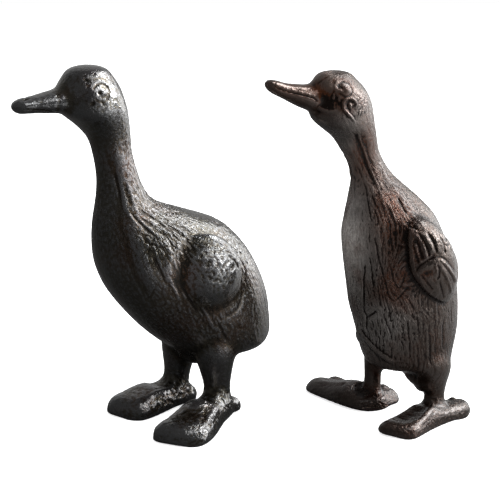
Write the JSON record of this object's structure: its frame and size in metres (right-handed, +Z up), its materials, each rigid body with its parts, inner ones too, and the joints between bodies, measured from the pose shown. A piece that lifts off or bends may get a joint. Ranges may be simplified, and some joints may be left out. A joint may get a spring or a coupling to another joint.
{
  "type": "duckling figurine pair",
  "caption": "Free-standing cast iron ducklings, stout and slender, each a hollow casting split down its middle plane, with a head dowel and slotted tie screws, on flat webbed feet.",
  "frame": {"origin": "centre of the bounding box on the ground plane that the soles stand on", "axes": "+X from the bills towards the tails, as the pair stands across the picture; +Y from the wing side that faces the viewer to the hidden side; +Z up"},
  "size_m": [0.2388, 0.1046, 0.1935],
  "materials": {
    "stout_iron": "dark waxed iron with a fine pitted grain, semi-gloss",
    "upright_iron": "dark brown waxed iron with a fine pitted grain, semi-gloss",
    "screw_steel": "turned steel, dulled",
    "dowel_steel": "ground steel"
  },
  "bodies": {
    "root": {"stout_left_half": "stout_iron", "stout_right_half": "stout_iron", "stout_head_dowel": "dowel_steel", "stout_upper_screw": "screw_steel", "stout_lower_screw": "screw_steel", "upright_left_half": "upright_iron", "upright_right_half": "upright_iron", "upright_head_dowel": "dowel_steel", "upright_upper_screw": "screw_steel", "upright_lower_screw": "screw_steel"}
  },
  "joints": []
}
